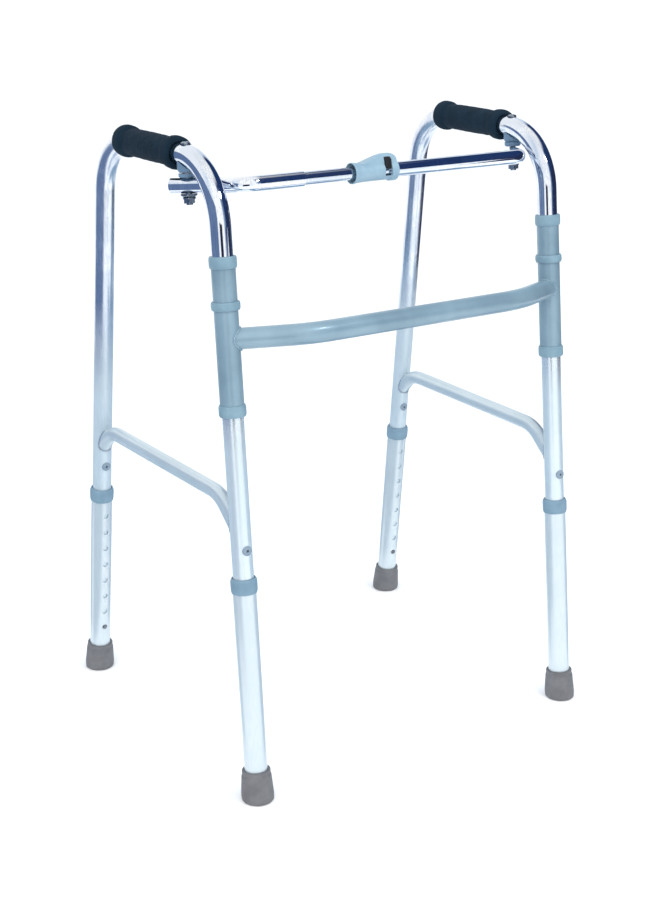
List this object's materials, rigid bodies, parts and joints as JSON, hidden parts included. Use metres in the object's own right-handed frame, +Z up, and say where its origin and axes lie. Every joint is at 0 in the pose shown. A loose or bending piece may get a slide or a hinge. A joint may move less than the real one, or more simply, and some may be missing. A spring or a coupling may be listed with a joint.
{
  "type": "folding walking frame",
  "caption": "Folding walking frame with bent tube sides on a bowed front arch, telescopic latched upper bar, foam grips, and adjustable legs with rubber feet.",
  "frame": {"origin": "on the floor, in the middle between the feet", "axes": "+Z up, +Y towards the user's side, -Y towards the front arch, X across the frame"},
  "size_m": [0.5526, 0.481, 0.7944],
  "materials": {
    "arch_paint": "satin metallic paint",
    "ring_plastic": "moulded, satin",
    "frame_tube": "bright polished, anodised",
    "bar_tube": "bright polished, anodised",
    "slider_tube": "bright drawn",
    "grip_foam": "closed-cell foam",
    "plug_plastic": "moulded",
    "steel": "bright plated",
    "button_steel": "dull plated",
    "saddle_plastic": "moulded, satin",
    "leg_tube": "satin anodised",
    "collar_plastic": "moulded, satin",
    "foot_rubber": "matt moulded rubber",
    "lock_plastic": "moulded, satin",
    "latch_black": "moulded, satin"
  },
  "bodies": {
    "arch": {"cross_arch": "arch_paint", "left_sleeve": "arch_paint", "right_sleeve": "arch_paint", "left_upper_ring": "ring_plastic", "left_middle_ring": "ring_plastic", "left_lower_ring": "ring_plastic", "right_upper_ring": "ring_plastic", "right_middle_ring": "ring_plastic", "right_lower_ring": "ring_plastic"},
    "left_frame": {"left_side_tube": "frame_tube", "left_brace": "frame_tube", "left_grip": "grip_foam", "left_plugs": "plug_plastic", "left_pivot_head": "steel", "left_saddle": "saddle_plastic"},
    "right_frame": {"right_side_tube": "frame_tube", "right_brace": "frame_tube", "right_grip": "grip_foam", "right_plugs": "plug_plastic", "right_pivot_bolt": "steel", "right_saddle": "saddle_plastic"},
    "right_pivot": {"right_spacer": "saddle_plastic", "right_washer": "steel", "right_nut": "steel"},
    "bar_right": {"right_bar_tube": "bar_tube", "lock_housing": "lock_plastic"},
    "latch": {"latch_button": "latch_black"},
    "bar_middle": {"middle_bar_tube": "slider_tube"},
    "bar_left": {"left_bar_tube": "bar_tube", "left_spacer": "saddle_plastic", "left_bolt_end": "steel", "left_washer": "steel", "left_nut": "steel"},
    "left_front_leg": {"left_front_extension": "leg_tube", "left_front_collar": "collar_plastic", "left_front_foot": "foot_rubber"},
    "left_front_snap": {"left_front_button": "button_steel"},
    "left_rear_leg": {"left_rear_extension": "leg_tube", "left_rear_collar": "collar_plastic", "left_rear_foot": "foot_rubber"},
    "left_rear_snap": {"left_rear_button": "button_steel"},
    "right_front_leg": {"right_front_extension": "leg_tube", "right_front_collar": "collar_plastic", "right_front_foot": "foot_rubber"},
    "right_front_snap": {"right_front_button": "button_steel"},
    "right_rear_leg": {"right_rear_extension": "leg_tube", "right_rear_collar": "collar_plastic", "right_rear_foot": "foot_rubber"},
    "right_rear_snap": {"right_rear_button": "button_steel"}
  },
  "joints": [
    {"name": "left_fold", "type": "hinge", "parent": "arch", "child": "left_frame", "pos_m": [-0.24635, -0.2197, 0], "axis": [-0.0069, -0.0998, -0.995], "range_deg": [0, 60]},
    {"name": "right_fold", "type": "hinge", "parent": "arch", "child": "right_frame", "pos_m": [0.24635, -0.2197, 0], "axis": [-0.0069, 0.0998, 0.995], "range_deg": [0, 40]},
    {"name": "right_pivot_turn", "type": "hinge", "parent": "right_frame", "child": "right_pivot", "pos_m": [0.24261, -0.07716, 0.73958], "axis": [0, 0.0998, 0.995], "range_deg": [-42, 0]},
    {"name": "bar_turn", "type": "hinge", "parent": "right_pivot", "child": "bar_right", "pos_m": [0.24261, -0.07716, 0.73958], "axis": [0, 0.0998, 0.995], "range_deg": [0, 4.4]},
    {"name": "bar_slide", "type": "slide", "parent": "bar_right", "child": "bar_middle", "axis": [1, 0, 0], "range_m": [0, 0.06]},
    {"name": "left_tube_slide", "type": "slide", "parent": "bar_middle", "child": "bar_left", "axis": [1, 0, 0], "range_m": [0, 0.0445]},
    {"name": "latch_press", "type": "slide", "parent": "bar_right", "child": "latch", "axis": [0, -0.0998, -0.995], "range_m": [0, 0.0022], "stiffness_N_per_m": 900, "springref_m": -0.002},
    {"name": "left_front_leg_slide", "type": "slide", "parent": "left_frame", "child": "left_front_leg", "axis": [-0.0069, -0.0998, -0.995], "range_m": [0, 0.1524]},
    {"name": "left_front_button_press", "type": "slide", "parent": "left_frame", "child": "left_front_snap", "axis": [0.0216, -0.9948, 0.0997], "range_m": [0, 0.0045], "stiffness_N_per_m": 1200, "springref_m": -0.003},
    {"name": "left_rear_leg_slide", "type": "slide", "parent": "left_frame", "child": "left_rear_leg", "axis": [-0.0114, 0.1123, -0.9936], "range_m": [0, 0.1524]},
    {"name": "left_rear_button_press", "type": "slide", "parent": "left_frame", "child": "left_rear_snap", "axis": [-0.0197, 0.9935, 0.1125], "range_m": [0, 0.0045], "stiffness_N_per_m": 1200, "springref_m": -0.003},
    {"name": "right_front_leg_slide", "type": "slide", "parent": "right_frame", "child": "right_front_leg", "axis": [0.0069, -0.0998, -0.995], "range_m": [0, 0.1524]},
    {"name": "right_front_button_press", "type": "slide", "parent": "right_frame", "child": "right_front_snap", "axis": [-0.0216, -0.9948, 0.0997], "range_m": [0, 0.0045], "stiffness_N_per_m": 1200, "springref_m": -0.003},
    {"name": "right_rear_leg_slide", "type": "slide", "parent": "right_frame", "child": "right_rear_leg", "axis": [0.0114, 0.1123, -0.9936], "range_m": [0, 0.1524]},
    {"name": "right_rear_button_press", "type": "slide", "parent": "right_frame", "child": "right_rear_snap", "axis": [0.0197, 0.9935, 0.1125], "range_m": [0, 0.0045], "stiffness_N_per_m": 1200, "springref_m": -0.003}
  ],
  "couplings": [
    {"joint": "right_pivot_turn", "follows": "right_fold", "ratio": -1.0471},
    {"joint": "left_tube_slide", "follows": "right_fold", "m_per_rad": 0.063234},
    {"joint": "bar_turn", "follows": "left_fold", "ratio": 0.072596},
    {"joint": "bar_slide", "follows": "left_fold", "m_per_rad": 0.056892}
  ]
}
